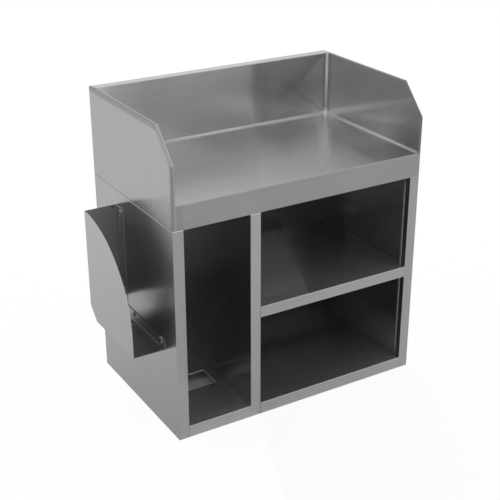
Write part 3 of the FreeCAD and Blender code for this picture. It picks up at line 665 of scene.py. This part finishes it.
# The inner faces, painted brighter, with painted reflections above and below a slanting line, painted shade
# low at the front and rear, and a darker line beside the weld.
inner_faces = strip("X", -0.489, 0.489, 0.001)
tint(upstand_steel, inner_faces, 1.48)
reflection_line = (0, 0.329, 0.944)
above_reflection_line = meeting(inner_faces, placed(reflection_line, 0.923, 0.928), placed(reflection_line, 0.98, 0.94))
tint(upstand_steel, above_reflection_line, 0.92)
below_reflection_line = meeting(inner_faces, placed(reflection_line, 0.89, 0.915), placed(reflection_line, 0.928, 0.923))
tint(upstand_steel, below_reflection_line, 1.12)
rear_foot = meeting(inner_faces, placed(reflection_line, 0.91, 0.895), placed("Y", -0.12, 0.17))
tint(upstand_steel, rear_foot, 0.68)
front_foot = meeting(inner_faces, placed(reflection_line, 0.89, 0.84), placed("Y", -0.1, -0.25))
tint(upstand_steel, front_foot, 0.62)
beside_weld = meeting(inner_faces, strip("Y", 0.247, 0.262, 0.003))
tint(upstand_steel, beside_weld, 0.72)
dress(upstand_steel, "upstand_left", "upstand_right", "upstand_left_inner_face", "upstand_right_inner_face")

# Welds of the worktop.
# The joints where the worktop meets its upstands, and where those meet each other, are welded and ground to a
# small hollow round, with a drop of weld where three of them meet. The ground steel scatters more light.
left, right = -0.488, 0.488
front, behind = -0.306, 0.27
level, high = 0.877, 1.1185
weld_radius, weld_steps = 0.0075, 10
weld_steel = brushed_steel(
    "ground_weld_steel", grain="X", tone=0.66, roughness=0.5, anisotropy=0.0, film=0.6,
)
# Painted highlights on the welds: towards the rear right, along the rear, and up the corners.
along_worktop, up_corners = placed("Z", 0.9, 0.89), placed("Z", 0.885, 0.9)
to_rear_right, at_rear = placed((0.707, 0.707, 0), 0.3, 0.5), placed("Y", 0.255, 0.26)
tint(weld_steel, meeting(along_worktop, to_rear_right), 1.5)
tint(weld_steel, meeting(along_worktop, at_rear), 1.2)
tint(weld_steel, up_corners, 1.2)


def rounded_weld(name, corner, run, one, other):
    """A weld ground to a hollow quarter-round, from a corner by a run, between the sides one and other."""
    corner = Vector(corner)
    centre = corner + (one + other) * weld_radius
    edit = bmesh.new()
    start = edit.verts.new(corner + one * weld_radius)
    bmesh.ops.spin(
        edit, geom=[start], cent=centre, axis=other.cross(one), angle=math.pi / 2, steps=weld_steps,
        use_duplicate=False,
    )
    root = edit.verts.new(corner)
    for end in [vert for vert in edit.verts if len(vert.link_edges) == 1]:
        edit.edges.new((end, root))
    bmesh.ops.contextual_create(edit, geom=edit.edges[:])
    draw_out(edit, run)
    weld = into_scene(name, edit, weld_steel)
    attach(weld, "root")


to_right, to_back, up = Vector((1, 0, 0)), Vector((0, 1, 0)), Vector((0, 0, 1))
backwards = to_back * (behind - front)
upright = up * (high - level)
rounded_weld("weld_back", (left, behind, level), to_right * (right - left), -to_back, up)
rounded_weld("weld_right", (right, front, level), backwards, -to_right, up)
rounded_weld("weld_left", (left, front, level), backwards, to_right, up)
rounded_weld("weld_corner_right", (right, behind, level), upright, -to_right, -to_back)
rounded_weld("weld_corner_left", (left, behind, level), upright, to_right, -to_back)

drop_radius = 0.007
drop_inset = 0.7 * drop_radius
for name, across in (("weld_drop_left", left + drop_inset), ("weld_drop_right", right - drop_inset)):
    edit = bmesh.new()
    bmesh.ops.create_icosphere(edit, subdivisions=3, radius=drop_radius)
    bmesh.ops.translate(edit, vec=(across, behind - drop_inset, level + drop_inset), verts=edit.verts[:])
    drop = into_scene(name, edit, weld_steel)
    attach(drop, "root")

# Bolts of the top unit.
# Three hexagon bolts come up through the ceiling of the bays into the back upstand's foot, with nuts above.
# They are plated, and a little darker than the sheets.
bolt_steel = brushed_steel(
    "plated_bolt_steel", grain="Z", tone=0.35, roughness=0.2, anisotropy=0.0, film=0.05,
)
dress(bolt_steel, "top_unit_bolts", "top_unit_nuts")

# Side holder.
# A pocket folded from one 1.5 mm sheet, brushed up and down, with its flanges bolted to the body's left side.
# It is painted darker inside, as shade, with painted light on its floor, and a painted highlight where the
# fold beside the body catches the light.
holder_steel = brushed_steel(
    "holder_brushed_steel", grain="Z", tone=0.52, roughness=0.2, anisotropy=0.85, film=0.08,
    waves=0.15, marks=0.02,
)
inner_sides = facing("X", 0.6, 0.9)
tint(holder_steel, inner_sides, 0.7)
rear_wall = meeting(facing("Y", -0.6, -0.9), placed("Y", 0.125, 0.13))
tint(holder_steel, rear_wall, 0.8)
holder_floor = meeting(flat, strip("Z", 0.321, 0.324, 0.001))
tint(holder_steel, holder_floor, 1.2)
flanges = meeting(facing("X", -0.6, -0.9), placed("X", -0.51, -0.506))
across_rear_flange = (0, 0.992, 0.126)
flange_edge = strip(across_rear_flange, 0.1905, 0.1935, 0.002)
# Painted shade on the flanges, and a painted highlight on the rear flange's edge.
tint(holder_steel, meeting(flanges, placed("Z", 0.366, 0.364)), 0.7)
tint(holder_steel, meeting(flanges, flange_edge), 1.4)
fold_line = meeting(
    placed("X", -0.512, -0.508), strip("Z", 0.3234, 0.325, 0.0006), strip("Y", -0.17, 0.05, 0.02),
)
tint(holder_steel, fold_line, 1.8)
dull(holder_steel, fold_line, 0.5)
dress(holder_steel, "side_holder")

# Bolts of the holder.
# Hexagon bolts on large bright washers, with nuts inside the wall. Each washer is darker in the shade of its
# bolt's head.
bolt_heights = (0.348, 0.415, 0.715)
head_half = 0.006
washer_steel = brushed_steel(
    "bright_washer_steel", grain="Z", tone=0.85, roughness=0.35, anisotropy=0.0, film=0.4,
)
for height in bolt_heights:
    behind_head = strip("Z", height - head_half, height + head_half, 0.003)
    tint(washer_steel, behind_head, 0.4)
dress(washer_steel, "holder_washers")
dress(bolt_steel, "holder_bolts", "holder_nuts")
